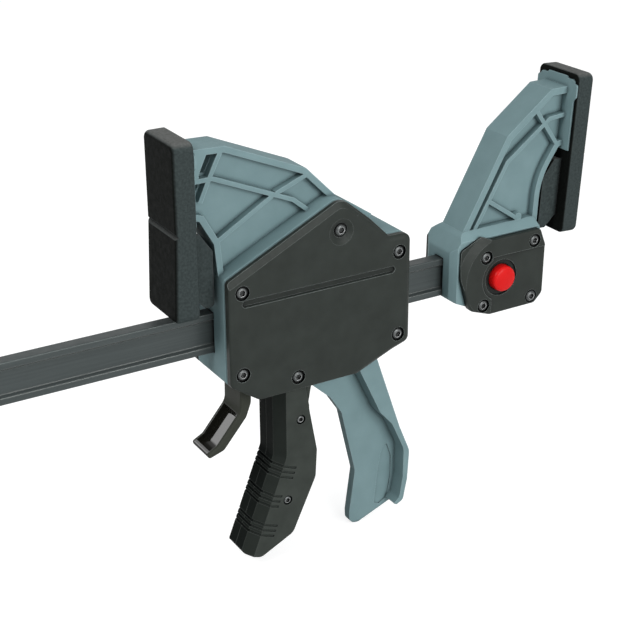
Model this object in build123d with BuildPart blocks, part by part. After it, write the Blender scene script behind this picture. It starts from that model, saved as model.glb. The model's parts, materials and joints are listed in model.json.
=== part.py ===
from build123d import *
import os

# Quick release bar clamp, set up as a spreader: both pads face outwards.
# Millimetres. +X runs along the bar towards the fixed jaw, +Z is up and Y runs across the clamp.
# The origin is on the bar's top edge, in the mid-plane, directly under the moving pad's face.

# ---------------------------------------------------------------- driving dimensions

# bar: an I section of steel, with the same keyhole at both ends
BAR_LEFT, BAR_RIGHT = -295.0, 213.0
BAR_HEIGHT, BAR_HALF = 21.8, 3.65
BAR_EDGE, BAR_WEB_HALF = 3.4, 1.9   # height of its solid edges, half thickness of its web
LOCK_X, LOCK_Z = 193.0, -12.8       # axis of the lock pin
LOCK_HOLE_R, LOCK_SLOT = 4.0, 5.0   # keyhole: round hole, and slot out to the bar's end
END_TO_HOLE = BAR_RIGHT - LOCK_X
BAR_GAP = 0.3                       # room round the bar in every guide

# moving jaw
BODY_HALF = 17.0                    # housing, mid-plane to the cover's seat
COVER_T = 4.0
ARM_HALF, ARM_WEB_HALF = 9.25, 5.0
FLANGE_T, RIB_T = 3.2, 2.3
BAY_LEFT, BAY_RIGHT, BAY_TOP = 29.0, 124.5, 14.0
HANDLE_HALF, HANDLE_WEB_HALF = 12.0, 2.5

# trigger and drive
PIVOT = (87.8, 36.5)                # trigger pivot, X and Z
SLEEVE_R, SLEEVE_HALF, PIN_FIT = 4.0, 16.9, 0.06
TRIGGER_HALF, TRIGGER_CHAMFER, TRIGGER_STEP = 12.5, 5.3, 1.2
KNEE, FOOT = (54.5, -87.5), (31.3, -147.4)   # the grip's front bends at KNEE and runs on to FOOT
GROOVE_PITCH, GROOVE_WIDTH, GROOVE_DEPTH, GROOVE_SIDE_DEPTH = 3.0, 1.3, 1.0, 0.5
GROOVE_GROUPS = [(7.2, 13.2), (24.4, 10.2), (41.6, 13.6)]   # way down from KNEE, and reach to the rear
YOKE_IN, YOKE_OUT = 4.3, 7.3        # inner and outer face of each cheek
PLATE_X, PLATE_T, PLATE_PITCH, PLATE_COUNT = 82.3, 3.0, 3.1, 3
PLATE_HALF, PLATE_TOP, PLATE_BOTTOM = 11.0, 8.0, -33.0

# brake and release lever
BRAKE_X, BRAKE_T = 36.7, 3.0
BRAKE_TOP, BRAKE_BOTTOM = 10.0, -50.0
BRAKE_HALF, TAIL_HALF = 9.0, 7.0
LEVER_HALF, LEVER_TOP, LEVER_WALL = 9.5, -36.3, 2.1
RIVET_R, RIVET_Z = 1.5, -41.5
BRAKE_SPRING_Z = -31.3

# fixed jaw
FIXED_HALF, FIXED_COVER_T = 14.0, 3.5
FIXED_LEFT = 163.0
BUTTON_R, BUTTON_SHOULDER_R, BUTTON_TRAVEL = 7.3, 9.0, 4.5
BUTTON_BACK, BUTTON_LENGTH, BUTTON_DOME_R = -12.1, 9.2, 30.0   # its back at rest, and its front's curve
PIN_R, PIN_NECK = 3.9, 4.4          # lock pin, and the flat neck that the bar's slot passes
FIELD_R, FIELD_DEPTH = 13.0, 0.8    # lower field of the cover round the button
RING_R, RING_DEPTH = 10.4, 1.8
CONE_R, CONE_RUN, CONE_DEPTH, CONE_END_X = 24.0, 4.7, 2.2, 187.0   # slope down to its left edge

# pads
PAD_HALF, PAD_T, PAD_TOP, PAD_BOTTOM = 16.75, 10.8, 93.0, 3.5
PAD_NOTCH_Z, PAD_NOTCH = 48.3, 1.4  # notch across the pad's face
PAD_BOSS_T, PAD_BOSS_HALF = 11.5, 9.0
HEAD_HALF, HEAD_T, HEAD_SEAT = 14.0, 2.9, 2.0   # head plate of each arm, and its seat's depth
HEAD_TOP, HEAD_BOTTOM, HEAD_GAP = 89.5, 50.7, 0.15
PAD_EDGE = 2.5                      # rounding of the pad's face
FIXED_PAD_X, FIXED_PAD_TILT = 249.9, 3.0        # its face at the top, and its lean in degrees

# screws with a button head and a hexagon socket
HEAD_R, HEAD_H, SHANK_R, SOCKET = 3.2, 1.6, 1.45, 3.0
SEAT_R, SEAT_DEPTH, HOLE_R = 3.9, 1.6, 1.5
SMALL_HEAD_R, SMALL_SEAT_R = 2.5, 2.7
DIMPLE_R = 16.0                     # ball that hollows the dimple round the pivot's screw

# side outlines: X, Z and corner radius of each point
MOVING_SIDE = [
    (24, 21.2, 3), (88.9, 52.8, 8), (105.6, 39, 0), (117.2, 27.3, 2), (130.2, 27.3, 5),
    (130.5, -33.8, 4), (120.1, -37.1, 0), (100.2, -45.3, 3), (40, -45.4, 4), (24, -34.4, 3),
]
FIXED_SIDE = [
    (166.6, 6.8, 2.5), (179.5, 12.8, 1.5), (185.7, 10.5, 2), (218.6, 10.8, 2.5), (222.6, 0.8, 4),
    (222.4, -28, 4), (217.1, -33.2, 3), (186.2, -33.4, 8), (172, -28.4, 6), (166.3, -9, 10),
]
TRIGGER_SIDE = [
    (54.5, -42, 0), (*KNEE, 8), (33.6, -141.5, 2), (43.2, -145, 5), (63.1, -135.6, 6),
    (77.3, -104.9, 8), (78.2, -88.7, 5), (73.4, -62, 10), (77, -42, 0),
]
LEVER_SIDE = [
    (35.2, LEVER_TOP, 0), (34.9, -56.2, 8), (21.3, -72.4, 4), (15.2, -75.6, 1.3), (16.2, -78.3, 1.3),
    (25, -75.6, 5), (38.4, -59.8, 6), (41.3, -52, 8), (41.3, LEVER_TOP, 0),
]
# the hollow down the lever's front: its top slope, its floor and the bowl in the tip
LEVER_HOLLOW = [
    (33.7, -57.4, 0), (34.8, -61.4, 2), (23.6, -74.6, 4), (18, -76.6, 1.5), (16.9, -74, 0),
    (10, -66, 0), (28, -50, 0),
]
MOVING_SCREWS = [(122.8, 18), (31.6, 15), (122.9, -28.4), (31, -29)]
PIVOT_SCREW, SHORT_SCREW = PIVOT, (62.4, -38.1)
FIXED_SCREWS = [(182.2, 0.9), (214.7, 4.5), (181.4, -27.1), (214.7, -28.8)]
TRIGGER_SCREWS = [(68.5, -68.2), (60, -114.6)]

SIDE = Plane.XZ                     # plane of the side outlines; its normal points to -Y

os.makedirs("parts", exist_ok=True)


# ---------------------------------------------------------------- helpers


def profile(*corners, mode=Mode.ADD):
    """A closed outline whose corners are given as X, Z and radius."""
    with BuildSketch() as flat:
        Polygon(*[(x, z) for x, z, radius in corners], align=None)
        for x, z, radius in corners:
            if radius:
                fillet(flat.vertices().sort_by_distance((x, z))[0], radius)
    add(flat.sketch_local, mode=mode)


def polygon(*points, mode=Mode.ADD):
    """A closed outline with sharp corners."""
    Polygon(*points, align=None, mode=mode)


def strip(width, *points):
    """A rib or flange seen from its end: a band of one width along a centre line."""
    trace(Wire.make_polygon([Vector(*point) for point in points], close=False), line_width=width)


def rod(x, z, radius, from_y, to_y, mode=Mode.ADD):
    """A round bar, or a bore, that runs across the clamp."""
    with BuildSketch(SIDE.offset(-from_y)) as disc:
        with Locations((x, z)):
            Circle(radius)
    extrude(disc.sketch, amount=from_y - to_y, mode=mode)


def save(builder, name):
    """Labels a finished piece and writes it out."""
    builder.part.label = name
    export_step(builder.part, f"parts/{name}.step")


def screw(grip, head_r):
    """A button head screw: under the head at z = 0, shank down to z = -grip."""
    with BuildPart() as one:
        with BuildSketch(Plane.XZ):
            with BuildLine():
                Polyline((0, HEAD_H), (0, 0), (head_r, 0), (head_r, 0.5))
                ThreePointArc((head_r, 0.5), (head_r * 0.85, HEAD_H * 0.72), (head_r * 0.5, HEAD_H))
                Line((head_r * 0.5, HEAD_H), (0, HEAD_H))
            make_face()
        revolve(axis=Axis.Z)
        with BuildSketch(Plane.XY):
            Circle(SHANK_R)
        extrude(amount=-grip)
        with BuildSketch(Plane.XY.offset(HEAD_H)):
            RegularPolygon(SOCKET / 2 * head_r / HEAD_R, 6, major_radius=False)
        extrude(amount=-1.2, mode=Mode.SUBTRACT)
    return one.part


def screw_row(places, seat_y, end_y, head_r=HEAD_R):
    """Screws that point to +Y, with the undersides of their heads at seat_y."""
    for x, z in places:
        add(Location((x, seat_y, z), (90, 0, 0)) * screw(end_y - seat_y, head_r))


def coil(length, mean_r, wire_r, turns):
    """A coil spring along Z, from z = 0 to z = length, its wire six-sided to keep its faces few."""
    rise = length - 2 * wire_r
    path = Helix(rise / turns, rise, mean_r, mode=Mode.PRIVATE)
    with BuildPart() as wire:
        with BuildSketch(Plane(path @ 0, z_dir=path % 0)):
            RegularPolygon(wire_r, 6)
        sweep(path=path, is_frenet=True)
    return Location((0, 0, wire_r)) * wire.part


def band(points, radius, seat_y, width, depth, rounded=False):
    """Slopes the edge of a cover's outer face along a line of points, which runs clockwise."""
    with BuildLine(SIDE.offset(-seat_y)) as edge_line:
        FilletPolyline(*points, radius=radius)
    along = edge_line.line % 0
    inward = along.cross(SIDE.z_dir)
    with BuildSketch(Plane(edge_line.line @ 0, x_dir=inward, z_dir=along)) as section:
        with BuildLine():
            if rounded:
                TangentArc((width, 0), (0, depth), tangent=(-1, 0))
                Line((width, 0), (width, -0.5))
            else:
                Line((width, 0), (0, depth))
                Line((width, 0), (width, -0.5))
            Polyline((0, depth), (-1.5, depth + 1), (-1.5, -0.5), (width, -0.5))
        make_face()
    sweep(section.sketch, edge_line.line, mode=Mode.SUBTRACT)


def bar_slot(from_x, to_x):
    """The opening for the bar through a wall, a plate or a housing."""
    with BuildSketch(Plane.YZ.offset(from_x)) as opening:
        with Locations((0, -BAR_HEIGHT / 2)):
            Rectangle(2 * (BAR_HALF + BAR_GAP), BAR_HEIGHT + 2 * BAR_GAP)
    extrude(opening.sketch, amount=to_x - from_x, mode=Mode.SUBTRACT)


def head_plate():
    """The plate at the end of the moving arm that its pad is moulded on."""
    with BuildPart() as plate:
        with BuildSketch(Plane.YZ.offset(PAD_T - HEAD_SEAT)):
            with Locations((0, (HEAD_TOP + HEAD_BOTTOM) / 2)):
                RectangleRounded(2 * HEAD_HALF, HEAD_TOP - HEAD_BOTTOM, 2)
        extrude(amount=HEAD_T)
        # its outer layer lies on the pad's back, with an ear at each upper corner
        with BuildSketch(Plane.YZ.offset(PAD_T)):
            for side in (-1, 1):
                profile(
                    (0, 90.7, 0), (side * 7.4, 90.7, 1.5), (side * 10.2, 87.5, 1.5), (side * 16.3, 87.5, 1.5),
                    (side * 16.3, 80.5, 2), (side * 14.4, 78.3, 2), (side * 14.4, HEAD_BOTTOM, 0),
                    (0, HEAD_BOTTOM, 0),
                )
        extrude(amount=HEAD_T - HEAD_SEAT)
    return plate.part


def pad(lower_lean):
    """A pad that faces -X, notched across; its lower half leans out by lower_lean at its end."""
    with BuildPart() as rubber:
        with BuildSketch(SIDE):
            polygon(
                (0, PAD_TOP), (0, PAD_NOTCH_Z), (-lower_lean, PAD_BOTTOM),
                (PAD_T, PAD_BOTTOM), (PAD_T, PAD_TOP),
            )
        extrude(amount=PAD_HALF, both=True)
        fillet(rubber.edges().filter_by(Axis.X), 4)
        back = rubber.faces().sort_by(Axis.X)[-1]
        fillet(back.edges(), 1)
        front_edges = [edge for edge in rubber.edges() if edge.center().X < 0.1 and len(edge.vertices()) == 2]
        fillet([edge for edge in front_edges if abs(edge.center().Y) > 1 or abs(edge.center().Z - 48) > 5],
               PAD_EDGE)
        with BuildSketch(SIDE):
            polygon(
                (-1, PAD_NOTCH_Z + PAD_NOTCH + 1), (PAD_NOTCH, PAD_NOTCH_Z), (-1, PAD_NOTCH_Z - PAD_NOTCH - 1)
            )
        extrude(amount=PAD_HALF + 1, both=True, mode=Mode.SUBTRACT)
        # boss behind the lower half, its inner corner cut away over the bar
        with BuildSketch(SIDE):
            profile(
                (PAD_T - 1, 13, 0), (PAD_T, 13, 0), (PAD_T + 6.7, 6, 0), (PAD_T + PAD_BOSS_T, 6, 2),
                (PAD_T + PAD_BOSS_T, 35, 3), (PAD_T + 4.5, 45, 2), (PAD_T - 1, 45, 0),
            )
        extrude(amount=PAD_BOSS_HALF, both=True)
        # seat of the arm's head plate
        with BuildSketch(Plane.YZ.offset(PAD_T - HEAD_SEAT)):
            with Locations((0, (HEAD_TOP + HEAD_BOTTOM) / 2)):
                RectangleRounded(
                    2 * (HEAD_HALF + HEAD_GAP), HEAD_TOP - HEAD_BOTTOM + 2 * HEAD_GAP, 2
                )
        extrude(amount=HEAD_SEAT + 3, mode=Mode.SUBTRACT)
    return rubber.part


def on_fixed_arm(shape):
    """Turns a piece of the moving arm's head round to the fixed arm's, which leans outwards."""
    turned = Location((0, 0, -PAD_TOP)) * mirror(shape, about=Plane.YZ, mode=Mode.PRIVATE)
    return Location((FIXED_PAD_X, 0, PAD_TOP), (0, FIXED_PAD_TILT, 0)) * turned


# ---------------------------------------------------------------- bar

with BuildPart() as bar:
    with BuildSketch(Plane.YZ.offset(BAR_LEFT)):
        with Locations((0, -BAR_HEIGHT / 2)):
            RectangleRounded(2 * BAR_HALF, BAR_HEIGHT, 0.6)
        for side in (-1, 1):
            polygon(
                (side * BAR_WEB_HALF, -BAR_EDGE - 1.4),
                (side * (BAR_HALF + 0.5), -BAR_EDGE + 0.2),
                (side * (BAR_HALF + 0.5), -BAR_HEIGHT + BAR_EDGE - 0.2),
                (side * BAR_WEB_HALF, -BAR_HEIGHT + BAR_EDGE + 1.4),
                mode=Mode.SUBTRACT,
            )
    extrude(amount=BAR_RIGHT - BAR_LEFT)
    with BuildSketch(SIDE):
        for hole_x, end in ((LOCK_X, 1), (BAR_LEFT + END_TO_HOLE, -1)):
            with Locations((hole_x, LOCK_Z)):
                Circle(LOCK_HOLE_R)
            with Locations((hole_x + end * END_TO_HOLE / 2, LOCK_Z)):
                Rectangle(END_TO_HOLE + 1, LOCK_SLOT)
    extrude(amount=BAR_HALF + 1, both=True, mode=Mode.SUBTRACT)
save(bar, "bar")


# ---------------------------------------------------------------- moving jaw

with BuildPart() as moving_jaw:
    # housing
    with BuildSketch(SIDE):
        profile(*MOVING_SIDE)
    extrude(amount=BODY_HALF, both=True)
    front_edges = moving_jaw.edges().filter_by(Axis.Z).group_by(Axis.X)[0]
    chamfer(front_edges, 1.8)

    # arm: web, flanges and ribs
    with BuildSketch(SIDE):
        polygon(
            (10.8, 86), (30, 86), (74, 67.5), (91, 50), (107, 38), (60, 30),
            (26, 11), (25.5, 21), (24, 37), (16.5, 50.7), (10.8, 50.7),
        )
    extrude(amount=ARM_WEB_HALF, both=True)
    with BuildSketch(SIDE):
        strip(FLANGE_T, (9.5, 85.6), (30, 84.9), (73.7, 66.6), (90.2, 49.9), (112, 35.7))
        strip(FLANGE_T, (10.2, 54.6), (16.8, 52.6), (24.6, 38.8), (26.2, 21.6), (27, 5))
        strip(RIB_T, (9.5, 71.1), (23.2, 71.5), (67.2, 52.9), (80.5, 42))
        strip(RIB_T, (28.5, 85), (21.8, 72), (16.5, 60.5))
        strip(RIB_T, (75, 64.5), (57.5, 57.8))
        strip(RIB_T, (55.5, 57), (25, 39.5))
        # solid corner under the head plate's ears
        polygon((9.5, 86), (21, 84.6), (16.2, 74.5), (16.2, 71.5), (9.5, 71.5))
    extrude(amount=ARM_HALF, both=True)
    # two openings through the arm beside that corner
    with BuildSketch(SIDE):
        polygon((20.7, 83.4), (25.8, 83), (21, 73.8), (16.4, 73.8))
        polygon((12.6, 69.4), (18.6, 69.6), (14.6, 61.5), (12.6, 61.5))
    extrude(amount=ARM_HALF + 1, both=True, mode=Mode.SUBTRACT)

    add(head_plate())

    # handle: a flat web and a back flange
    with BuildSketch(SIDE):
        profile(
            (80, -42, 0), (80, -54.5, 3), (92.6, -66.1, 4), (99.6, -77, 4), (108.6, -115.9, 3),
            (105.1, -142, 0), (105.4, -149.2, 4), (111, -150, 3), (133.2, -141.5, 2),
            (136.6, -110, 0), (118, -62, 0), (112, -42, 0),
        )
    extrude(amount=HANDLE_WEB_HALF, both=True)
    with BuildSketch(SIDE):
        profile(
            (104, -41.5, 0), (105.5, -50.1, 2), (118.6, -78, 8), (126.6, -87.4, 6), (134.6, -105, 8),
            (134.5, -123, 10), (132.4, -136, 3), (128.8, -138.9, 0.3), (130.6, -140, 1),
            (134.8, -138, 3), (137.4, -125, 12), (138.4, -107, 10), (131.6, -90.5, 8), (114, -39, 0),
        )
    extrude(amount=HANDLE_HALF, both=True)
    for face_y, inward in ((-HANDLE_WEB_HALF, 1), (HANDLE_WEB_HALF, -1)):
        with BuildSketch(SIDE.offset(-face_y)):
            profile(
                (129, -103.3, 1), (125.6, -109.5, 4), (123.6, -121, 8), (121.4, -141, 1.5),
                (124.4, -142.6, 1), (130, -139.4, 3), (132.4, -126, 8), (132.4, -113, 6),
            )
        extrude(amount=-inward * 0.6, mode=Mode.SUBTRACT)

    # bay for the mechanism, open to both covers
    with BuildSketch(SIDE):
        profile(
            (BAY_LEFT, BAY_TOP, 0), (BAY_RIGHT, BAY_TOP, 0), (BAY_RIGHT, -31.5, 3), (118, -33.4, 0),
            (99.4, -41, 0), (36, -41, 0), (BAY_LEFT, -36.5, 2),
        )
        for x, z in ((31, -29), (122.9, -28.4)):
            with Locations((x, z)):
                Circle(4, mode=Mode.SUBTRACT)
        polygon((29, 14.1), (29, 3), (36.2, 3), (36.2, 14.1), mode=Mode.SUBTRACT)
        polygon((41.5, 14.1), (41.5, 3), (47, 3), (47, 14.1), mode=Mode.SUBTRACT)
        polygon((49.5, -41.1), (49.5, -27), (52.5, -27), (52.5, -41.1), mode=Mode.SUBTRACT)
    extrude(amount=BODY_HALF, both=True, mode=Mode.SUBTRACT)
    # pivot chamber for the trigger's cheeks, and the sleeve's bore
    with BuildSketch(SIDE):
        with Locations(PIVOT):
            Circle(10)
        polygon((77.8, 36.5), (71.5, 13.5), (96, 13.5), (97.8, 36.5))
    extrude(amount=YOKE_OUT + 0.7, both=True, mode=Mode.SUBTRACT)
    rod(*PIVOT, SLEEVE_R + PIN_FIT, -BODY_HALF, BODY_HALF, mode=Mode.SUBTRACT)
    # openings in the bottom wall for the release lever and the trigger
    for left, right, half in ((34.3, 48.6, LEVER_HALF + 0.7), (53, 94, TRIGGER_HALF + 0.7)):
        with BuildSketch(Plane.XY.offset(-38)):
            with Locations(((left + right) / 2, 0)):
                Rectangle(right - left, 2 * half)
            if right > 90:
                with Locations((87, 0)):
                    Rectangle(16, 2 * HANDLE_WEB_HALF, mode=Mode.SUBTRACT)
        extrude(amount=-8.5, mode=Mode.SUBTRACT)
    # blocks for the short middle screws
    for side in (-1, 1):
        rod(*SHORT_SCREW, 4.5, side * BODY_HALF, side * (TRIGGER_HALF + 0.7))
    bar_slot(20, 135)
    for x, z in MOVING_SCREWS:
        for side in (-1, 1):
            rod(x, z, HOLE_R, side * BODY_HALF, side * 8.5, mode=Mode.SUBTRACT)
    for side in (-1, 1):
        rod(*SHORT_SCREW, HOLE_R, side * BODY_HALF, side * 13.4, mode=Mode.SUBTRACT)
save(moving_jaw, "moving_jaw")

with BuildPart() as front_cover:
    with BuildSketch(SIDE.offset(BODY_HALF)):
        profile(*MOVING_SIDE)
    extrude(amount=COVER_T)
    outer_face = front_cover.faces().sort_by(Axis.Y)[0]
    fillet(outer_face.edges(), 1.2)
    seat_y = -(BODY_HALF + COVER_T)
    # crisp slope along the upper left edge and the apex, and a soft one down the right side
    band([(14, 16.3), (88.9, 52.8), (99, 44.5)], 8, seat_y, 3.2, 1.6)
    band(
        [(80, 60.2), (117.2, 27.3), (130.2, 27.3), (130.5, -33.8), (120.1, -37.1), (92, -48.5)],
        [2, 5, 4, 1], seat_y, 3, 1.7, rounded=True,
    )
    # shallow hollow inside, and the screw that lies in a dimple
    with BuildSketch(SIDE.offset(BODY_HALF)):
        with Locations((78, -13)):
            RectangleRounded(80, 36, 4)
    extrude(amount=1.4, mode=Mode.SUBTRACT)
    with Locations((PIVOT[0], seat_y + SEAT_DEPTH - DIMPLE_R, PIVOT[1] - 0.8)):
        Sphere(DIMPLE_R, mode=Mode.SUBTRACT)
    # long groove
    with BuildSketch(SIDE.offset(-seat_y)):
        with Locations((75.8, 9)):
            SlotOverall(89, 4)
    extrude(amount=-1.1, taper=35, mode=Mode.SUBTRACT)
    for x, z in [*MOVING_SCREWS, SHORT_SCREW, PIVOT_SCREW]:
        rod(x, z, SEAT_R, seat_y, seat_y + SEAT_DEPTH, mode=Mode.SUBTRACT)
        rod(x, z, HOLE_R, seat_y, -BODY_HALF, mode=Mode.SUBTRACT)
save(front_cover, "front_cover")

with BuildPart() as rear_cover:
    mirror(front_cover.part, about=SIDE)
save(rear_cover, "rear_cover")

MOVING_SEAT_Y = -(BODY_HALF + COVER_T - SEAT_DEPTH)
with BuildPart() as front_cover_screws:
    screw_row([*MOVING_SCREWS, PIVOT_SCREW], MOVING_SEAT_Y, -9)
    screw_row([SHORT_SCREW], MOVING_SEAT_Y, -13.7)
save(front_cover_screws, "front_cover_screws")

with BuildPart() as rear_cover_screws:
    mirror(front_cover_screws.part, about=SIDE)
save(rear_cover_screws, "rear_cover_screws")

with BuildPart() as trigger_pivot_sleeve:
    rod(*PIVOT, SLEEVE_R, -SLEEVE_HALF, SLEEVE_HALF)
    rod(*PIVOT, HOLE_R, -SLEEVE_HALF, SLEEVE_HALF, mode=Mode.SUBTRACT)
save(trigger_pivot_sleeve, "trigger_pivot_sleeve")


# ---------------------------------------------------------------- trigger and drive

with BuildPart() as trigger_yoke:
    with BuildSketch(SIDE):
        with Locations(PIVOT):
            Circle(8)
        profile(
            (80, 37, 0), (66, -12, 10), (60, -60, 10), (60, -104, 0), (64, -110, 1.5), (67.5, -110, 1.5),
            (70.5, -98, 4), (71, -62, 8), (75.5, -38, 8), (77.5, -16, 1), (82, -11, 2.5), (77.5, -6, 1),
            (78, 8, 4), (84, 17, 6), (95.8, 36, 0),
        )
    extrude(amount=YOKE_OUT, both=True)
    with BuildSketch(SIDE):
        with Locations((80, 0)):
            Rectangle(60, 164)
    extrude(amount=YOKE_IN, both=True, mode=Mode.SUBTRACT)
    with BuildSketch(SIDE):
        with Locations((62, -91)):
            Rectangle(3, 18)
    extrude(amount=YOKE_OUT, both=True)
    rod(*PIVOT, SLEEVE_R + PIN_FIT, -20, 20, mode=Mode.SUBTRACT)
    rod(*TRIGGER_SCREWS[0], HOLE_R, -20, 20, mode=Mode.SUBTRACT)
save(trigger_yoke, "trigger_yoke")

# the grip as one form: it is split into two shells below
with BuildPart() as grip:
    with BuildSketch(SIDE):
        profile(*TRIGGER_SIDE)
    extrude(amount=TRIGGER_HALF, both=True)
    # wide chamfers down both sides of the front
    for side in (-1, 1):
        with BuildLine(SIDE.offset(-side * TRIGGER_HALF)) as front_line:
            FilletPolyline((KNEE[0], -35), KNEE, FOOT, radius=8)
        start = Plane(front_line.line @ 0, x_dir=(1, 0, 0), z_dir=(0, 0, -1))
        with BuildSketch(start) as wedge:
            polygon(
                (-3, -side * 3), (TRIGGER_CHAMFER + 3, -side * 3), (-3, side * (TRIGGER_CHAMFER + 3))
            )
        sweep(wedge.sketch, front_line.line, mode=Mode.SUBTRACT)
    # finger grooves: three groups that run over the front and both chamfers onto the sides
    upward = (Vector(KNEE[0], 0, KNEE[1]) - Vector(FOOT[0], 0, FOOT[1])).normalized()
    chamfer_foot = TRIGGER_HALF - TRIGGER_CHAMFER - GROOVE_SIDE_DEPTH * 2**0.5
    side_floor = TRIGGER_HALF - GROOVE_SIDE_DEPTH
    for way_down, reach in GROOVE_GROUPS:
        groove_planes = [
            Plane(Vector(KNEE[0], 0, KNEE[1]) - upward * (way_down + step * GROOVE_PITCH),
                  x_dir=Axis.Y.direction.cross(upward), z_dir=upward)
            for step in (-1, 0, 1)
        ]
        with BuildSketch(*groove_planes):
            for side in (-1, 1):
                polygon(
                    (-2, 0), (GROOVE_DEPTH, 0), (GROOVE_DEPTH, side * (chamfer_foot + GROOVE_DEPTH)),
                    (side_floor - chamfer_foot, side * side_floor), (reach, side * side_floor),
                    (reach + 0.8, side * (TRIGGER_HALF + 0.5)), (-2, side * (TRIGGER_HALF + 0.5)),
                )
        extrude(amount=GROOVE_WIDTH / 2, both=True, mode=Mode.SUBTRACT)
    # the sides step back at the rear of the top
    for side in (-1, 1):
        with BuildSketch(SIDE.offset(side * TRIGGER_HALF)):
            polygon((69.5, -40), (73.9, -62.5), (80, -62.5), (80, -40))
        extrude(amount=-side * TRIGGER_STEP, mode=Mode.SUBTRACT)
    # pocket for the yoke, slot for the handle's web, and the open top of the front
    with BuildSketch(SIDE):
        polygon((58, -41), (58, -112), (72.8, -112), (72.8, -62), (77.5, -41))
    extrude(amount=YOKE_OUT + 0.2, both=True, mode=Mode.SUBTRACT)
    with BuildSketch(SIDE):
        polygon((63.5, -41), (63.5, -58), (71.3, -64.5), (77, -71), (90, -71), (90, -41))
    extrude(amount=HANDLE_WEB_HALF + 0.7, both=True, mode=Mode.SUBTRACT)
    with BuildSketch(SIDE):
        polygon((50, -41), (50, -52.5), (59, -52.5), (59, -41))
    extrude(amount=5.2, both=True, mode=Mode.SUBTRACT)
    rear_seat = TRIGGER_HALF - 2.5
    for x, z in TRIGGER_SCREWS:
        rod(x, z, HOLE_R, -TRIGGER_HALF, rear_seat, mode=Mode.SUBTRACT)
        rod(x, z, SMALL_SEAT_R, -TRIGGER_HALF, -TRIGGER_HALF + SEAT_DEPTH, mode=Mode.SUBTRACT)

with BuildPart() as trigger_front_shell:
    add(grip.part)
    split(bisect_by=SIDE, keep=Keep.TOP)
save(trigger_front_shell, "trigger_front_shell")

with BuildPart() as trigger_rear_shell:
    add(grip.part)
    split(bisect_by=SIDE, keep=Keep.BOTTOM)
save(trigger_rear_shell, "trigger_rear_shell")

with BuildPart() as trigger_screws:
    screw_row(TRIGGER_SCREWS, -TRIGGER_HALF + SEAT_DEPTH, rear_seat - 0.5, SMALL_HEAD_R)
save(trigger_screws, "trigger_screws")

with BuildPart() as drive_plates:
    for index in range(PLATE_COUNT):
        with BuildSketch(Plane.YZ.offset(PLATE_X + index * PLATE_PITCH)):
            with Locations((0, (PLATE_TOP + PLATE_BOTTOM) / 2)):
                RectangleRounded(2 * PLATE_HALF, PLATE_TOP - PLATE_BOTTOM, 3)
        extrude(amount=PLATE_T)
    bar_slot(PLATE_X - 1, PLATE_X + PLATE_COUNT * PLATE_PITCH + 1)
save(drive_plates, "drive_plates")

with BuildPart() as drive_spring:
    add(Location((91.9, 0, -BAR_HEIGHT / 2), (0, 90, 0)) * coil(32.2, 12.7, 0.8, 5))
save(drive_spring, "drive_spring")


# ---------------------------------------------------------------- brake and release lever

with BuildPart() as brake_plate:
    with BuildSketch(Plane.YZ.offset(BRAKE_X)):
        with Locations((0, (BRAKE_TOP - 27) / 2)):
            RectangleRounded(2 * BRAKE_HALF, BRAKE_TOP + 27, 2)
        with Locations((0, (BRAKE_BOTTOM - 25) / 2)):
            RectangleRounded(2 * TAIL_HALF, -BRAKE_BOTTOM - 25, 1)
        with Locations((0, -BAR_HEIGHT / 2)):
            Rectangle(2 * BAR_HALF + 1.4, BAR_HEIGHT + 2, mode=Mode.SUBTRACT)
    extrude(amount=BRAKE_T)
    with BuildSketch(Plane.YZ.offset(BRAKE_X)):
        with Locations((0, RIVET_Z)):
            Circle(RIVET_R + 0.05)
    extrude(amount=BRAKE_T, mode=Mode.SUBTRACT)
save(brake_plate, "brake_plate")

with BuildPart() as release_lever:
    with BuildSketch(SIDE):
        profile(*LEVER_SIDE)
    extrude(amount=LEVER_HALF, both=True)
    sides = release_lever.faces().filter_by(Axis.Y)
    fillet(sides.edges(), 1.2)
    with BuildSketch(SIDE):
        profile(*LEVER_HOLLOW)
    extrude(amount=LEVER_HALF - LEVER_WALL, both=True, mode=Mode.SUBTRACT)
    # pocket for the brake plate's tail
    with BuildSketch(Plane.YZ.offset(BRAKE_X - 0.05)):
        with Locations((0, (BRAKE_BOTTOM + LEVER_TOP) / 2)):
            Rectangle(2 * TAIL_HALF + 0.1, LEVER_TOP - BRAKE_BOTTOM + 0.1)
    extrude(amount=BRAKE_T + 0.1, mode=Mode.SUBTRACT)
    with BuildSketch(Plane.YZ.offset(30)):
        with Locations((0, RIVET_Z)):
            Circle(RIVET_R + 0.05)
    extrude(amount=14, mode=Mode.SUBTRACT)
save(release_lever, "release_lever")

with BuildPart() as lever_rivet:
    with BuildSketch(Plane.YZ.offset(35.2)):
        with Locations((0, RIVET_Z)):
            Circle(RIVET_R)
    extrude(amount=6)
save(lever_rivet, "lever_rivet")

with BuildPart() as brake_spring:
    add(Location((39.8, 0, BRAKE_SPRING_Z), (0, 90, 0)) * coil(9.6, 2.9, 0.45, 4))
save(brake_spring, "brake_spring")


# ---------------------------------------------------------------- fixed jaw

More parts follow.
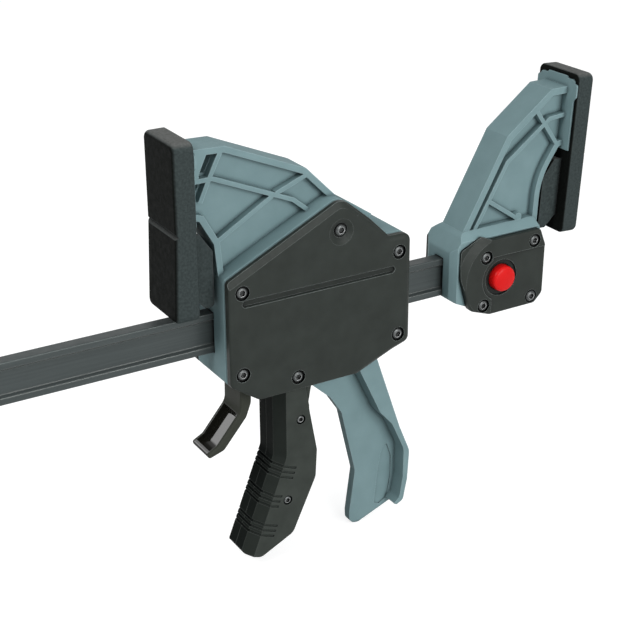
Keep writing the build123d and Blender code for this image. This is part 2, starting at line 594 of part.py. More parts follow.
with BuildPart() as fixed_jaw:
    # housing, with sloping shoulders up to the arm
    with BuildSketch(SIDE):
        profile(
            (FIXED_LEFT, 5, 3), (170, 15.3, 6), (219, 15.5, 1), (222.3, 3, 3), (222.2, -28, 4),
            (217, -32.8, 3), (186, -33, 8), (FIXED_LEFT, -22.5, 3),
        )
    extrude(amount=FIXED_HALF, both=True)
    with BuildSketch(Plane.YZ.offset(FIXED_LEFT - 1)):
        for side in (-1, 1):
            polygon((side * 15, 16), (side * ARM_HALF, 16), (side * ARM_HALF, 15.5), (side * 15, 10.4))
    extrude(amount=62, mode=Mode.SUBTRACT)
    with BuildSketch(Plane.XY.offset(-40)):
        for side in (-1, 1):
            polygon((FIXED_LEFT - 1, side * 15), (FIXED_LEFT - 1, side * 7.5),
                    (FIXED_LEFT, side * 9.5), (FIXED_LEFT + 3, side * 15))
    extrude(amount=60, mode=Mode.SUBTRACT)

    # arm: web, flanges and ribs
    with BuildSketch(SIDE):
        polygon(
            (170, 8), (200, 63), (227.4, 84), (238.2, 84), (236.5, 51), (233, 49),
            (222.3, 38), (220, 14), (219, 10),
        )
    extrude(amount=ARM_WEB_HALF, both=True)
    with BuildSketch(SIDE):
        strip(3.8, (167.9, 4.8), (200, 62.9), (227.4, 83.9), (239, 84.1))
        strip(RIB_T, (177, 10.6), (199.4, 49.5), (226.7, 69.5), (238, 70.5))
        with BuildLine():
            FilletPolyline((220, 9.5), (221.3, 36.5), (233.2, 54.6), (236.6, 54.6), radius=[40, 3])
        trace(line_width=FLANGE_T)
        strip(RIB_T, (216.5, 76.6), (232.3, 55))
        strip(RIB_T, (187.5, 30), (209, 15.5))
        with Locations((208.6, 16.8)):
            Circle(2.4)
    extrude(amount=ARM_HALF, both=True)

    add(on_fixed_arm(head_plate()))

    # slot for the bar, and the bores for the lock pin, its button and its spring
    bar_slot(FIXED_LEFT - 5, 230)
    rod(LOCK_X, LOCK_Z, PIN_R + PIN_FIT, -FIXED_HALF, FIXED_HALF, mode=Mode.SUBTRACT)
    rod(LOCK_X, LOCK_Z, BUTTON_SHOULDER_R + 0.3, -FIXED_HALF, -7.2, mode=Mode.SUBTRACT)
    for x, z in FIXED_SCREWS:
        for side in (-1, 1):
            rod(x, z, HOLE_R, side * FIXED_HALF, side * 6.5, mode=Mode.SUBTRACT)
save(fixed_jaw, "fixed_jaw")

with BuildPart() as fixed_cover:
    with BuildSketch(SIDE.offset(FIXED_HALF)):
        profile(*FIXED_SIDE)
    extrude(amount=FIXED_COVER_T)
    fillet(fixed_cover.faces().sort_by(Axis.Y)[0].edges(), 0.9)
    fixed_seat_y = -(FIXED_HALF + FIXED_COVER_T)
    for x, z in FIXED_SCREWS:
        rod(x, z, SEAT_R, fixed_seat_y, fixed_seat_y + SEAT_DEPTH, mode=Mode.SUBTRACT)
        rod(x, z, HOLE_R, fixed_seat_y, -FIXED_HALF, mode=Mode.SUBTRACT)

# conical slope that takes the cover down to its left edge, round the button's axis
with BuildPart() as cover_cone:
    with BuildSketch(Plane((LOCK_X, fixed_seat_y, LOCK_Z), x_dir=(-1, 0, 0), z_dir=(0, 0, -1))):
        polygon(
            (CONE_R, -1), (CONE_R, 0), (CONE_R + CONE_RUN, CONE_DEPTH),
            (CONE_R + 20, CONE_DEPTH), (CONE_R + 20, -1),
        )
    revolve(axis=Axis((LOCK_X, 0, LOCK_Z), (0, 1, 0)))
    split(bisect_by=Plane.YZ.offset(CONE_END_X), keep=Keep.BOTTOM)

with BuildPart() as fixed_front_cover:
    add(fixed_cover.part)
    # lower field round the button, running out to the right and bottom edges
    with BuildSketch(SIDE.offset(-fixed_seat_y)):
        with Locations((LOCK_X, LOCK_Z)):
            Circle(FIELD_R)
            with Locations((-FIELD_R / 2, FIELD_R)):
                Rectangle(50, 50, align=(Align.MIN, Align.MAX))
    extrude(amount=-FIELD_DEPTH, mode=Mode.SUBTRACT)
    rod(LOCK_X, LOCK_Z, RING_R, fixed_seat_y, fixed_seat_y + RING_DEPTH, mode=Mode.SUBTRACT)
    add(cover_cone.part, mode=Mode.SUBTRACT)
    rod(LOCK_X, LOCK_Z, BUTTON_R + 0.3, fixed_seat_y, -FIXED_HALF, mode=Mode.SUBTRACT)
save(fixed_front_cover, "fixed_front_cover")

with BuildPart() as fixed_rear_cover:
    mirror(fixed_cover.part, about=SIDE)
save(fixed_rear_cover, "fixed_rear_cover")

FIXED_SEAT_Y = -(FIXED_HALF + FIXED_COVER_T - SEAT_DEPTH)
with BuildPart() as fixed_front_screws:
    screw_row(FIXED_SCREWS, FIXED_SEAT_Y, -7)
save(fixed_front_screws, "fixed_front_screws")

with BuildPart() as fixed_rear_screws:
    mirror(fixed_front_screws.part, about=SIDE)
save(fixed_rear_screws, "fixed_rear_screws")

# lock pin, its button and its spring
with BuildPart() as button_form:
    Cylinder(BUTTON_R, BUTTON_LENGTH, align=(Align.CENTER, Align.CENTER, Align.MIN))
    with Locations((0, 0, BUTTON_LENGTH - BUTTON_DOME_R)):
        Sphere(BUTTON_DOME_R, mode=Mode.INTERSECT)
    fillet([edge for edge in button_form.edges() if edge.is_closed and edge.center().Z > 1], 2)
    Cylinder(BUTTON_SHOULDER_R, 1.8, align=(Align.CENTER, Align.CENTER, Align.MIN))

with BuildPart() as release_button:
    add(Location((LOCK_X, BUTTON_BACK, LOCK_Z), (90, 0, 0)) * button_form.part)
save(release_button, "release_button")

with BuildPart() as lock_pin:
    rod(LOCK_X, LOCK_Z, PIN_R, BUTTON_BACK, 5)
    # flat neck: pushed in by the button's travel, it lets the bar's slot slide past
    for side in (-1, 1):
        with BuildSketch(Plane.YZ.offset(LOCK_X)):
            with Locations((-BAR_WEB_HALF - 0.3 - BUTTON_TRAVEL / 2, LOCK_Z + side * PIN_NECK)):
                Rectangle(BUTTON_TRAVEL, PIN_NECK)
        extrude(amount=PIN_R + 1, both=True, mode=Mode.SUBTRACT)
save(lock_pin, "lock_pin")

with BuildPart() as button_spring:
    add(Location((LOCK_X, 5.1, LOCK_Z), (-90, 0, 0)) * coil(8.8, PIN_R - 0.6, 0.4, 4))
save(button_spring, "button_spring")


# ---------------------------------------------------------------- pads

with BuildPart() as moving_pad:
    add(pad(1.8))
save(moving_pad, "moving_pad")

with BuildPart() as fixed_pad:
    add(on_fixed_arm(pad(0)))
save(fixed_pad, "fixed_pad")
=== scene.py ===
import json
import math

import bpy
from mathutils import Matrix, Vector


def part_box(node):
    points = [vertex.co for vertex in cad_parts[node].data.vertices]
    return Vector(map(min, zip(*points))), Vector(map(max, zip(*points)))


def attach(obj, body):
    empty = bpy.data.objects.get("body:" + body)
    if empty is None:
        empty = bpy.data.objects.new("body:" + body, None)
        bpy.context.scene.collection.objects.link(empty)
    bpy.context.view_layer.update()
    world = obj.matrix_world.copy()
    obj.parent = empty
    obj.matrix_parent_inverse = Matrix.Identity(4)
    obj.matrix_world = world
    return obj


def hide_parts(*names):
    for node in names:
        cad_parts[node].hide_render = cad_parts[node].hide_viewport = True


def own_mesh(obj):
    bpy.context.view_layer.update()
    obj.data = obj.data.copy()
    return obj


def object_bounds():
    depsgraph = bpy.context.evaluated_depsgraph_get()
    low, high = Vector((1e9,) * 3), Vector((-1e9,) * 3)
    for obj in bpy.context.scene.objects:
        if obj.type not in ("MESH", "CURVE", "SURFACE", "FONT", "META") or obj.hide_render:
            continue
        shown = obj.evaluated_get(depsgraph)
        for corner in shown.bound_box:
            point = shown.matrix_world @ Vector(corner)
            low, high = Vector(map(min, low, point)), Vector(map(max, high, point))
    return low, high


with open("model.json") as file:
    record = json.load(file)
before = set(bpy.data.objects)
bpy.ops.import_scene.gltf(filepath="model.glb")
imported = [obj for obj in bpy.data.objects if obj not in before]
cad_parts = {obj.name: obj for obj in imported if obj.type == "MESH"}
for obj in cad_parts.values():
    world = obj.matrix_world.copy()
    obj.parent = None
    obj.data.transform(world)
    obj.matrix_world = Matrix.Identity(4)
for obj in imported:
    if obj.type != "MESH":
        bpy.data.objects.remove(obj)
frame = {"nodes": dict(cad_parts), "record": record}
nodes = frame["nodes"]
cad_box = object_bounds()

MM = 0.001                           # a millimetre, in metres


# ---------------------------------------------------------------- node helpers

def new_node(tree, kind, **settings):
    """Adds a node to a tree, with its settings."""
    made = tree.nodes.new(kind)
    for key, value in settings.items():
        setattr(made, key, value)
    return made


def calculate(tree, operation, *values):
    """The result of a Math node over values, each a number or a socket."""
    step = new_node(tree, "ShaderNodeMath", operation=operation)
    for value, socket in zip(values, step.inputs):
        if isinstance(value, (int, float)):
            socket.default_value = value
        else:
            tree.links.new(value, socket)
    return step.outputs[0]


def map_range(tree, source, low, high, from_value, to_value):
    """Maps a factor from low..high to from_value..to_value, held at the ends."""
    spread = new_node(tree, "ShaderNodeMapRange")
    limits = {"From Min": low, "From Max": high, "To Min": from_value, "To Max": to_value}
    for name, value in limits.items():
        spread.inputs[name].default_value = value
    tree.links.new(source, spread.inputs["Value"])
    return spread.outputs[0]


# ---------------------------------------------------------------- camera

IMAGE = 621                          # the photograph is square, in pixels
FOCAL = 1419.2                       # focal length of the fitted view, in pixels
SENSOR = 36.0                        # width of the camera's sensor, in millimetres
AZIMUTH, ELEVATION, ROLL = -30.462, 23.972, -0.323   # of the fitted view, in degrees
CAMERA_AT = (-0.25958, -0.58079, 0.28613)            # and where it is seen from, in metres
NEAREST, FARTHEST = 0.01, 20         # what the camera shows lies between these, in metres


def make_camera():
    """The photograph's view: a long lens from the front left, above the bar."""
    azimuth, elevation, roll = map(math.radians, (AZIMUTH, ELEVATION, ROLL))
    forward = Vector((
        -math.sin(azimuth) * math.cos(elevation),
        math.cos(azimuth) * math.cos(elevation),
        -math.sin(elevation),
    ))
    level = Vector((math.cos(azimuth), math.sin(azimuth), 0))
    upright = level.cross(forward)
    right = math.cos(roll) * level + math.sin(roll) * upright
    up = -math.sin(roll) * level + math.cos(roll) * upright
    data = bpy.data.cameras.new("camera")
    data.sensor_width = SENSOR
    data.lens = SENSOR * FOCAL / IMAGE
    data.clip_start, data.clip_end = NEAREST, FARTHEST
    camera = bpy.data.objects.new("camera", data)
    turn = Matrix((right, up, -forward)).transposed()
    camera.matrix_world = Matrix.Translation(CAMERA_AT) @ turn.to_4x4()
    bpy.context.scene.collection.objects.link(camera)
    bpy.context.scene.camera = camera


# ---------------------------------------------------------------- light, world and floor

WHITE = (1, 1, 1, 1)
AMBIENT_COLOUR = (0.97, 0.99, 1.0, 1)
AMBIENT_BELOW, AMBIENT_ABOVE = 0.1, 0.6   # strength of the soft light by its height
AMBIENT_LEFT, AMBIENT_RIGHT = 0.5, 1.4    # and what it is multiplied by on each side
FLOOR_SIZE, FLOOR_GAP = 12.0, 0.3 * MM    # its side, and how far it lies below the clamp
FLOOR_GLOW, FLOOR_SEEN = 0.78, 0.4   # to the camera: its own white, and the share that takes shadow
FLOOR_PALE = 0.45                    # its paleness to all other light
# each lamp: its place from the clamp's middle and its size, in metres, and its power in watts
LAMPS = {
    "key": ((0.3, -1.35, 0.38), 1.0, 18.5),
    "side": ((-0.9, -0.15, 1.0), 0.6, 12),
}


def area_light(name, place, target, size, power):
    """A soft square lamp at a place, turned to a target."""
    data = bpy.data.lights.new(name, "AREA")
    data.shape, data.size, data.energy = "SQUARE", size, power
    lamp = bpy.data.objects.new(name, data)
    aim = (Vector(target) - Vector(place)).to_track_quat("-Z", "Y")
    lamp.matrix_world = Matrix.Translation(place) @ aim.to_matrix().to_4x4()
    bpy.context.scene.collection.objects.link(lamp)


def white_rays(tree):
    """1 for the rays that find the plain white background: camera, glossy and transmission rays."""
    path = new_node(tree, "ShaderNodeLightPath")
    seen = path.outputs["Is Camera Ray"]
    for other in ("Is Glossy Ray", "Is Transmission Ray"):
        seen = calculate(tree, "MAXIMUM", seen, path.outputs[other])
    return seen


def make_world():
    """Soft light, stronger from above and from the right, and a background that looks white."""
    world = bpy.data.worlds.new("studio")
    world.use_nodes = True
    tree = world.node_tree
    backdrop = tree.nodes["Background"]
    backdrop.inputs["Color"].default_value = WHITE
    backdrop.inputs["Strength"].default_value = 1.0
    ambient = new_node(tree, "ShaderNodeBackground")
    ambient.inputs["Color"].default_value = AMBIENT_COLOUR
    direction = new_node(tree, "ShaderNodeSeparateXYZ")
    tree.links.new(new_node(tree, "ShaderNodeTexCoord").outputs["Generated"], direction.inputs[0])
    by_height = map_range(tree, direction.outputs["Z"], -1, 1, AMBIENT_BELOW, AMBIENT_ABOVE)
    by_side = map_range(tree, direction.outputs["X"], -1, 1, AMBIENT_LEFT, AMBIENT_RIGHT)
    strength = calculate(tree, "MULTIPLY", by_height, by_side)
    tree.links.new(strength, ambient.inputs["Strength"])
    choose = new_node(tree, "ShaderNodeMixShader")
    tree.links.new(white_rays(tree), choose.inputs[0])
    tree.links.new(ambient.outputs[0], choose.inputs[1])
    tree.links.new(backdrop.outputs[0], choose.inputs[2])
    tree.links.new(choose.outputs[0], tree.nodes["World Output"].inputs[0])
    bpy.context.scene.world = world


def make_floor():
    """A white floor just under the lowest point of the clamp."""
    bpy.ops.mesh.primitive_grid_add(x_subdivisions=2, y_subdivisions=2, size=FLOOR_SIZE)
    floor = bpy.context.object
    floor.name = "floor"
    floor.location.z = cad_box[0].z - FLOOR_GAP
    floor.data.materials.append(floor_material())


def floor_material():
    """White to the camera and in reflections, with a share of plain diffuse that keeps the shadow."""
    material = bpy.data.materials.new("floor_white")
    material.use_nodes = True
    tree = material.node_tree
    shader = tree.nodes["Principled BSDF"]
    shader.inputs["Roughness"].default_value = 1.0
    shader.inputs["Specular IOR Level"].default_value = 0.0
    shader.inputs["Emission Color"].default_value = WHITE
    seen = white_rays(tree)
    paleness = map_range(tree, seen, 0, 1, FLOOR_PALE, FLOOR_SEEN)
    tree.links.new(paleness, shader.inputs["Base Color"])
    glow = map_range(tree, seen, 0, 1, 0, FLOOR_GLOW)
    tree.links.new(glow, shader.inputs["Emission Strength"])
    return material


def make_studio():
    """The photograph's light: a wide lamp in front, one high on the left, and a white ground."""
    bpy.context.scene.view_settings.view_transform = "Standard"
    make_world()
    make_floor()
    centre = (cad_box[0] + cad_box[1]) / 2
    for name, (away, size, power) in LAMPS.items():
        area_light(name, centre + Vector(away), centre, size, power)


# ---------------------------------------------------------------- materials

EDGE_RADIUS = 0.7 * MM               # rounding that the light shows on every edge
EDGE_TURNED, EDGE_FLAT = 0.93, 0.996   # how far rounded and true normal agree, on and off an edge
RAYS = 6                             # with which a surface finds its edges and its hollows
OPEN = 0.9                           # share of open sky from which a place is no hollow
NOISE_LOW, NOISE_HIGH = 0.3, 0.7     # nearly all of a noise lies between these
COLOUR_A, COLOUR_B, COLOUR_MIX = 6, 7, 2   # the colour sockets of a Mix node


class Surface:
    """A procedural material: a principled shader, and short ways to feed it."""

    def __init__(self, name, metallic=0.0, specular=0.5, coat=0.0, edge=EDGE_RADIUS):
        self.material = bpy.data.materials.new(name)
        self.material.use_nodes = True
        self.tree = self.material.node_tree
        self.shader = self.tree.nodes["Principled BSDF"]
        self.shader.inputs["Metallic"].default_value = metallic
        self.shader.inputs["Specular IOR Level"].default_value = specular
        self.shader.inputs["Coat Weight"].default_value = coat
        self.place = self.node("ShaderNodeTexCoord").outputs["Object"]
        bevel = self.node("ShaderNodeBevel", samples=RAYS)
        bevel.inputs["Radius"].default_value = edge
        self.rounded = bevel.outputs["Normal"]
        self.link(self.rounded, self.shader.inputs["Normal"])

    def node(self, kind, **settings):
        """Adds a node to the material."""
        return new_node(self.tree, kind, **settings)

    def link(self, source, target):
        """Feeds one socket from another."""
        self.tree.links.new(source, target)

    def noise(self, size, detail, stretch=(1, 1, 1)):
        """Noise whose features are about size metres across, and longer where stretch is below 1."""
        mapping = self.node("ShaderNodeMapping")
        mapping.inputs["Scale"].default_value = stretch
        self.link(self.place, mapping.inputs["Vector"])
        texture = self.node("ShaderNodeTexNoise")
        texture.inputs["Scale"].default_value = 1 / size
        texture.inputs["Detail"].default_value = detail
        self.link(mapping.outputs[0], texture.inputs["Vector"])
        return texture.outputs["Fac"]

    def ramp(self, source, low, high, from_value=0, to_value=1):
        """Maps a factor from low..high to from_value..to_value, held at the ends."""
        return map_range(self.tree, source, low, high, from_value, to_value)

    def spread(self, noise, least=0, most=1):
        """Stretches a noise over least..most."""
        return self.ramp(noise, NOISE_LOW, NOISE_HIGH, least, most)

    def times(self, first, second):
        """The product of two factors."""
        return calculate(self.tree, "MULTIPLY", first, second)

    def blend(self, factor, first, second):
        """Mixes two colours, each a tuple or a socket."""
        mix = self.node("ShaderNodeMix", data_type="RGBA")
        self.link(factor, mix.inputs["Factor"])
        for value, socket in ((first, mix.inputs[COLOUR_A]), (second, mix.inputs[COLOUR_B])):
            if isinstance(value, tuple):
                socket.default_value = (*value, 1)
            else:
                self.link(value, socket)
        return mix.outputs[COLOUR_MIX]

    def colour(self, source):
        """Colours the surface by a socket."""
        self.link(source, self.shader.inputs["Base Color"])

    def roughness(self, source):
        """Roughens the surface by a socket."""
        self.link(source, self.shader.inputs["Roughness"])

    def edges(self):
        """1 along the edges, where the rounded normal leaves the true one, and 0 on flat faces."""
        true = self.node("ShaderNodeNewGeometry").outputs["Normal"]
        agree = self.node("ShaderNodeVectorMath", operation="DOT_PRODUCT")
        self.link(self.rounded, agree.inputs[0])
        self.link(true, agree.inputs[1])
        return self.ramp(agree.outputs["Value"], EDGE_TURNED, EDGE_FLAT, 1, 0)

    def hollows(self, reach, closed):
        """1 in corners, grooves and recesses, where the share of open sky is below closed, to 0."""
        sky = self.node("ShaderNodeAmbientOcclusion", samples=RAYS)
        sky.inputs["Distance"].default_value = reach
        return self.ramp(sky.outputs["AO"], closed, OPEN, 1, 0)

    def facing(self, axis, sign, start, full):
        """0 to 1 as the surface turns to an axis, its normal's part along that from start to full."""
        apart = self.node("ShaderNodeSeparateXYZ")
        self.link(self.node("ShaderNodeNewGeometry").outputs["Normal"], apart.inputs[0])
        along = calculate(self.tree, "MULTIPLY", apart.outputs[axis], sign)
        return self.ramp(along, start, full)

    def moulded(self, base, edge_highlight, hollow_shade, reach=3 * MM, closed=0.35):
        """Colours the surface: a base, painted highlights on its edges, and painted shade in its
        hollows, felt within reach.
        """
        # painted highlight: edges are coloured paler where the rounded normal turns away
        body = self.blend(self.edges(), base, edge_highlight)
        # painted shade: hollows are coloured darker where little open sky reaches
        self.colour(self.blend(self.hollows(reach, closed), body, hollow_shade))

    def bump(self, height, strength, distance):
        """Gives the surface a relief that it is lit by, on top of its rounded edges."""
        bump = self.node("ShaderNodeBump")
        bump.inputs["Strength"].default_value = strength
        bump.inputs["Distance"].default_value = distance
        self.link(height, bump.inputs["Height"])
        self.link(self.rounded, bump.inputs["Normal"])
        self.link(bump.outputs[0], self.shader.inputs["Normal"])


def nylon():
    """Grey-blue glass-filled nylon: a fine moulded grain, painted highlights along its edges, painted
    shade in its corners.
    """
    surface = Surface("grey_nylon", specular=0.12)
    mottle = surface.spread(surface.noise(14 * MM, detail=4))
    base = surface.blend(mottle, (0.140, 0.214, 0.226), (0.160, 0.241, 0.253))
    # the first colour is a painted edge highlight, the second painted shade in the corners
    edge_highlight, hollow_shade = (0.23, 0.325, 0.34), (0.075, 0.118, 0.126)
    surface.moulded(base, edge_highlight, hollow_shade, reach=2.5 * MM, closed=0.5)
    surface.roughness(surface.spread(surface.noise(2 * MM, detail=5), 0.58, 0.7))
    surface.bump(surface.noise(0.45 * MM, detail=2), strength=0.22, distance=0.15 * MM)
    return surface.material


def cover_plastic():
    """Black satin cover plastic with a fine spark-eroded grain."""
    surface = Surface("black_cover", specular=0.12, edge=0.4 * MM)
    mottle = surface.spread(surface.noise(10 * MM, detail=4))
    base = surface.blend(mottle, (0.0165, 0.0200, 0.0175), (0.0220, 0.0265, 0.0235))
    # the first colour is a painted edge highlight, the second painted shade in the groove, dimple and
    # recesses
    edge_highlight, hollow_shade = (0.16, 0.18, 0.175), (0.002, 0.0025, 0.0025)
    surface.moulded(base, edge_highlight, hollow_shade, closed=0.68)
    surface.roughness(surface.spread(surface.noise(1.5 * MM, detail=5), 0.36, 0.5))
    surface.bump(surface.noise(0.35 * MM, detail=2), strength=0.3, distance=0.12 * MM)
    return surface.material


def grip_plastic():
    """Black trigger plastic, a little greener than the covers, with painted shade on the faces that
    turn to the left.
    """
    surface = Surface("black_grip", specular=0.01)
    mottle = surface.spread(surface.noise(9 * MM, detail=4))
    plain = surface.blend(mottle, (0.035, 0.040, 0.036), (0.044, 0.050, 0.045))
    # painted shade: faces turned to the left are coloured darker, as if less lit
    left_facing_shade = surface.facing("X", -1, start=0.2, full=0.9)
    base = surface.blend(left_facing_shade, plain, (0.007, 0.009, 0.008))
    # paler edges are a painted highlight, darker hollows painted shade
    surface.moulded(base, edge_highlight=(0.055, 0.062, 0.057), hollow_shade=(0.003, 0.004, 0.004))
    surface.roughness(surface.spread(surface.noise(1.5 * MM, detail=5), 0.4, 0.52))
    surface.bump(surface.noise(0.4 * MM, detail=2), strength=0.25, distance=0.12 * MM)
    return surface.material


def rubber():
    """Matt black rubber with painted light: shaded faces to the left and right, sides painted lighter
    as lit, and a painted sheen on top.
    """
    surface = Surface("black_rubber", specular=0.02)
    speckle = surface.ramp(surface.noise(1.2 * MM, detail=6), 0.35, NOISE_HIGH)
    # painted shade: the dark colour of the faces turned left and right
    shaded_face = surface.blend(speckle, (0.0035, 0.004, 0.0035), (0.006, 0.007, 0.0065))
    # painted light: the greyer colour of the sides, as if lit from the front
    side = surface.blend(speckle, (0.028, 0.036, 0.036), (0.042, 0.053, 0.053))
    # painted sheen: the paler colour of the faces turned upward
    painted_top_sheen = surface.blend(speckle, (0.08, 0.083, 0.08), (0.115, 0.119, 0.115))
    right = surface.facing("X", 1, start=0.5, full=0.9)
    upward = surface.facing("Z", 1, start=0.5, full=0.95)
    left = surface.facing("X", -1, start=0.5, full=0.9)
    lit_and_shaded = surface.blend(right, surface.blend(left, side, shaded_face), shaded_face)
    base = surface.blend(upward, lit_and_shaded, painted_top_sheen)
    # paler edges are a painted highlight, darker hollows painted shade
    surface.moulded(base, edge_highlight=(0.05, 0.057, 0.056), hollow_shade=(0.002, 0.002, 0.002))
    surface.roughness(surface.spread(surface.noise(3 * MM, detail=5), 0.5, 0.68))
    surface.bump(surface.noise(0.6 * MM, detail=4), strength=0.35, distance=0.2 * MM)
    return surface.material


def bar_steel():
    """Dark coated bar steel, with faint draw lines along it."""
    surface = Surface("dark_bar_steel", metallic=0.35, specular=0.3)
    lines = surface.noise(1.1 * MM, detail=4, stretch=(0.015, 1, 1))
    streak = surface.spread(lines)
    base = surface.blend(streak, (0.034, 0.042, 0.042), (0.045, 0.055, 0.055))
    # paler edges are a painted highlight, darker hollows painted shade
    surface.moulded(base, edge_highlight=(0.13, 0.14, 0.135), hollow_shade=(0.012, 0.014, 0.014))
    surface.roughness(surface.spread(surface.noise(4 * MM, detail=6), 0.36, 0.48))
    surface.bump(lines, strength=0.1, distance=0.08 * MM)
    return surface.material


def plate_steel():
    """Plain stamped steel of the inner parts, lightly oiled."""
    surface = Surface("plate_steel", metallic=1.0)
    grain = surface.noise(0.8 * MM, detail=5, stretch=(1, 1, 0.08))
    surface.colour(surface.blend(grain, (0.33, 0.33, 0.34), (0.52, 0.52, 0.53)))
    surface.roughness(surface.spread(surface.noise(3 * MM, detail=5), 0.25, 0.45))
    surface.bump(grain, strength=0.1, distance=0.05 * MM)
    return surface.material


def spring_steel():
    """Bright drawn spring wire."""
    surface = Surface("spring_steel", metallic=1.0)
    grain = surface.noise(1 * MM, detail=4)
    surface.colour(surface.blend(grain, (0.42, 0.42, 0.43), (0.6, 0.6, 0.61)))
    surface.roughness(surface.spread(grain, 0.22, 0.34))
    surface.bump(grain, strength=0.1, distance=0.03 * MM)
    return surface.material


def screw_steel():
    """Blackened screw heads, with painted highlights on their rims and painted shade in their
    sockets.
    """
    surface = Surface("blackened_screw", metallic=0.8)
    grain = surface.spread(surface.noise(0.7 * MM, detail=4))
    base = surface.blend(grain, (0.045, 0.05, 0.05), (0.085, 0.09, 0.09))
    # paler edges are a painted highlight, darker hollows painted shade
    surface.moulded(base, edge_highlight=(0.3, 0.31, 0.31), hollow_shade=(0.006, 0.006, 0.006))
    surface.roughness(surface.spread(surface.noise(1.2 * MM, detail=4), 0.26, 0.42))
    surface.bump(grain, strength=0.1, distance=0.03 * MM)
    return surface.material


# the hollow down the release lever's front: the wall beside it, its ends below the lever's top,
# and over how far its look comes in at the side, the top and the foot
LEVER_WALL, HOLLOW_TOP, HOLLOW_FOOT = 2 * MM, 20.9 * MM, 39.5 * MM
SIDE_FADE, TOP_FADE, FOOT_FADE = 0.2 * MM, 1 * MM, 0.5 * MM


def lever_hollow(surface):
    """Two factors for the hollow down the lever's front: 1 all through it, and 1 on its floor."""
    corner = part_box("release_lever")[1]
    side, top, foot = corner.y - LEVER_WALL, corner.z - HOLLOW_TOP, corner.z - HOLLOW_FOOT
    place = surface.node("ShaderNodeSeparateXYZ")
    surface.link(surface.place, place.inputs[0])
    aside = calculate(surface.tree, "ABSOLUTE", place.outputs["Y"])
    within = surface.ramp(aside, side, side + SIDE_FADE, 1, 0)
    below = surface.ramp(place.outputs["Z"], top - TOP_FADE, top, 1, 0)
    above = surface.ramp(place.outputs["Z"], foot, foot + FOOT_FADE)
    not_behind = surface.facing("X", -1, start=-0.5, full=-0.2)
    forward = surface.facing("X", -1, start=0.3, full=0.6)
    inside = surface.times(within, surface.times(below, not_behind))
    return inside, surface.times(inside, surface.times(above, forward))


def lever_plastic():
    """Black-olive lever, polished in the hollow where the finger runs, with painted shade darkening
    that hollow.
    """
    surface = Surface("gloss_lever", specular=0.03)
    surface.shader.inputs["Coat Roughness"].default_value = 0.08
    surface.shader.inputs["Coat IOR"].default_value = 2.8
    inside, floor = lever_hollow(surface)
    surface.link(floor, surface.shader.inputs["Coat Weight"])
    mottle = surface.noise(12 * MM, detail=3)
    base = surface.blend(mottle, (0.031, 0.0335, 0.027), (0.041, 0.044, 0.036))
    # painted shade: the hollow is coloured darker
    surface.colour(surface.blend(inside, base, (0.008, 0.008, 0.006)))
    surface.roughness(surface.spread(surface.noise(3 * MM, detail=4), 0.3, 0.4))
    surface.bump(surface.noise(8 * MM, detail=1), strength=0.03, distance=0.1 * MM)
    return surface.material


def button_plastic():
    """Satin red push button."""
    surface = Surface("red_button", specular=0.1, coat=0.05)
    surface.shader.inputs["Coat Roughness"].default_value = 0.15
    mottle = surface.noise(6 * MM, detail=3)
    surface.colour(surface.blend(mottle, (0.48, 0.005, 0.005), (0.58, 0.007, 0.007)))
    surface.roughness(surface.spread(surface.noise(2 * MM, detail=4), 0.28, 0.38))
    surface.bump(surface.noise(0.6 * MM, detail=2), strength=0.08, distance=0.05 * MM)
    return surface.material


SLOT_MATERIALS = {
    "nylon": nylon, "cover": cover_plastic, "grip": grip_plastic, "rubber": rubber,
    "bar_steel": bar_steel, "plate_steel": plate_steel, "spring_steel": spring_steel,
    "screws": screw_steel, "lever": lever_plastic, "button": button_plastic,
}


# ---------------------------------------------------------------- shading

SHARP_EDGE = 22                      # degrees: flatter joins between faces belong to a curve
WELD_DISTANCE = 0.002 * MM           # between points that are one corner of the CAD surface


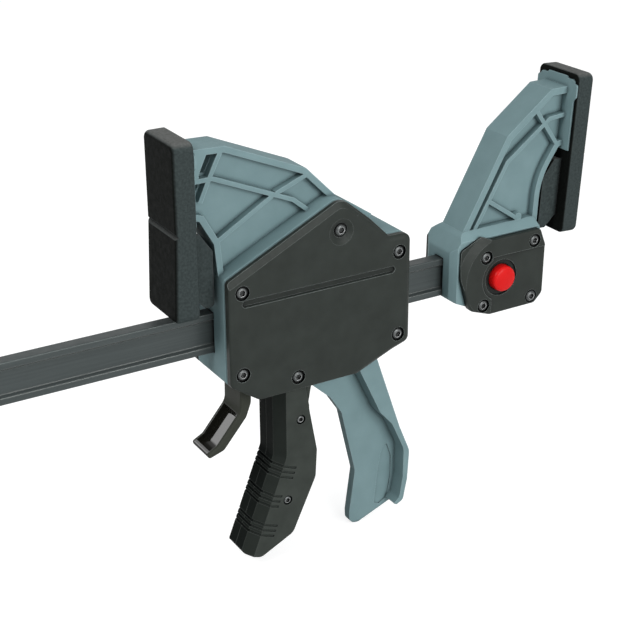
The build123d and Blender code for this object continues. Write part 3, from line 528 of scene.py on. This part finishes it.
def smooth_group():
    """A node group that shades every face smooth, and marks the edges that stay sharp."""
    group = bpy.data.node_groups.new("shade_smooth", "GeometryNodeTree")
    for end in ("INPUT", "OUTPUT"):
        group.interface.new_socket("Geometry", in_out=end, socket_type="NodeSocketGeometry")
    start = new_node(group, "NodeGroupInput")
    smooth = new_node(group, "GeometryNodeSetShadeSmooth")
    angle = new_node(group, "GeometryNodeInputMeshEdgeAngle")
    steep = new_node(group, "FunctionNodeCompare", operation="GREATER_THAN")
    steep.inputs["B"].default_value = math.radians(SHARP_EDGE)
    sharp = new_node(group, "GeometryNodeSetShadeSmooth", domain="EDGE")
    sharp.inputs["Shade Smooth"].default_value = False
    result = new_node(group, "NodeGroupOutput")
    group.links.new(start.outputs[0], smooth.inputs["Geometry"])
    group.links.new(smooth.outputs[0], sharp.inputs["Geometry"])
    group.links.new(angle.outputs["Unsigned Angle"], steep.inputs["A"])
    group.links.new(steep.outputs[0], sharp.inputs["Selection"])
    group.links.new(sharp.outputs[0], result.inputs[0])
    return group


def shade(node, group):
    """Joins the faces of the CAD surface, so that flats shade flat, curves smooth and edges sharp."""
    weld = node.modifiers.new("weld", "WELD")
    weld.merge_threshold = WELD_DISTANCE
    node.modifiers.new("smooth", "NODES").node_group = group
    weighted = node.modifiers.new("weighted", "WEIGHTED_NORMAL")
    weighted.mode, weighted.keep_sharp = "FACE_AREA", True


# ---------------------------------------------------------------- pieces

# each spring: its body, the joint that squeezes it, the axis that it shortens along, 0 for x and
# 1 for y, and how far that joint moves its free end
SPRINGS = {
    "drive_spring": ("moving_jaw", "drive_slide", 0, 8.8 * MM),
    "brake_spring": ("moving_jaw", "release_pull", 0, 5.4 * MM),
    "button_spring": ("bar", "button_press", 1, 4.5 * MM),
}


def dress_frame(group):
    """Gives every CAD node its material, by the slot that the record names, and its shading."""
    made = {slot: build() for slot, build in SLOT_MATERIALS.items()}
    for part in frame["record"]["subparts"]:
        node = nodes[part["node"]]
        node.data.materials.clear()
        node.data.materials.append(made[part["material_slot"]])
        shade(node, group)


def flex_springs(group):
    """Shows each spring as a shaded copy of its CAD node that rides with its body, in place of the
    node.
    """
    for name, (body, joint, axis, travel) in SPRINGS.items():
        coil = bpy.data.objects.new(name + "_coil", nodes[name].data.copy())
        bpy.context.scene.collection.objects.link(coil)
        shade(coil, group)
        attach(coil, body)
        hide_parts(name)
        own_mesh(coil)


make_camera()
make_studio()
smoothing = smooth_group()
dress_frame(smoothing)
flex_springs(smoothing)
